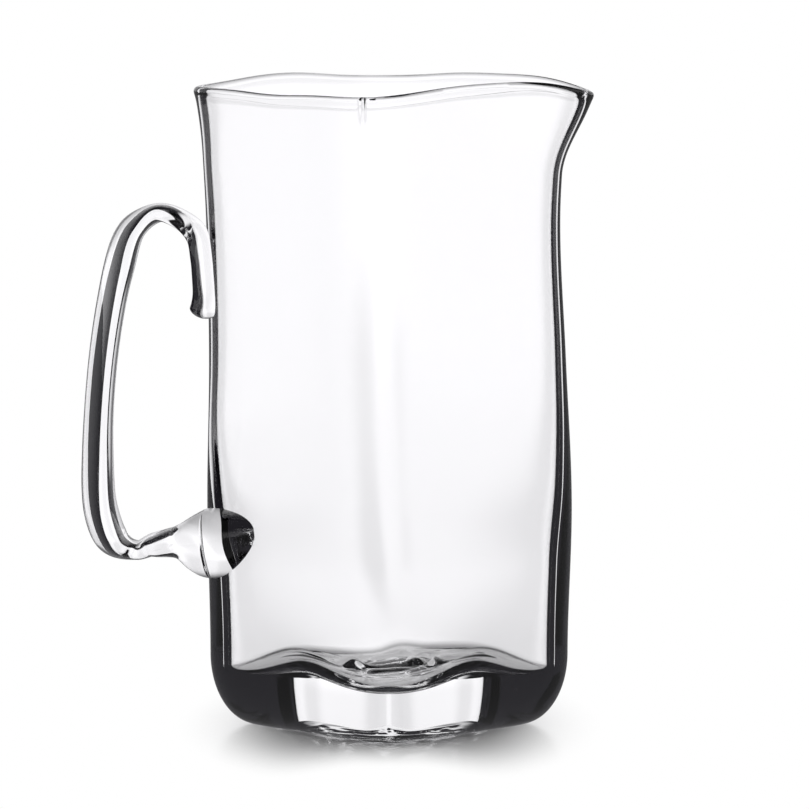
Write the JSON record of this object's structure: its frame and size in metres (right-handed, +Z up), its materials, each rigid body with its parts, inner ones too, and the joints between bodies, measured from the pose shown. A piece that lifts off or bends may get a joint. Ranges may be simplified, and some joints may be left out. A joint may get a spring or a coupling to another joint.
{
  "type": "glass pitcher",
  "caption": "Tall soft-square clear glass pitcher with a heavy solid foot, a wavy fire-polished rim, a pulled spout at one corner and a drawn strap handle on the opposite one, for pouring drinks.",
  "frame": {"origin": "centre of the foot, on the surface that the pitcher stands on", "axes": "+Z up, -X towards the handle, +X towards the spout, so the picture looks along +Y at one corner"},
  "size_m": [0.1882, 0.1368, 0.2379],
  "materials": {
    "clear_glass": "clear colourless blown glass, fire-polished, slightly uneven",
    "handle_glass": "clear colourless drawn glass, fire-polished, with faint lengthwise drawing marks"
  },
  "bodies": {
    "root": {"vessel_body": "clear_glass", "handle": "handle_glass"}
  },
  "joints": []
}
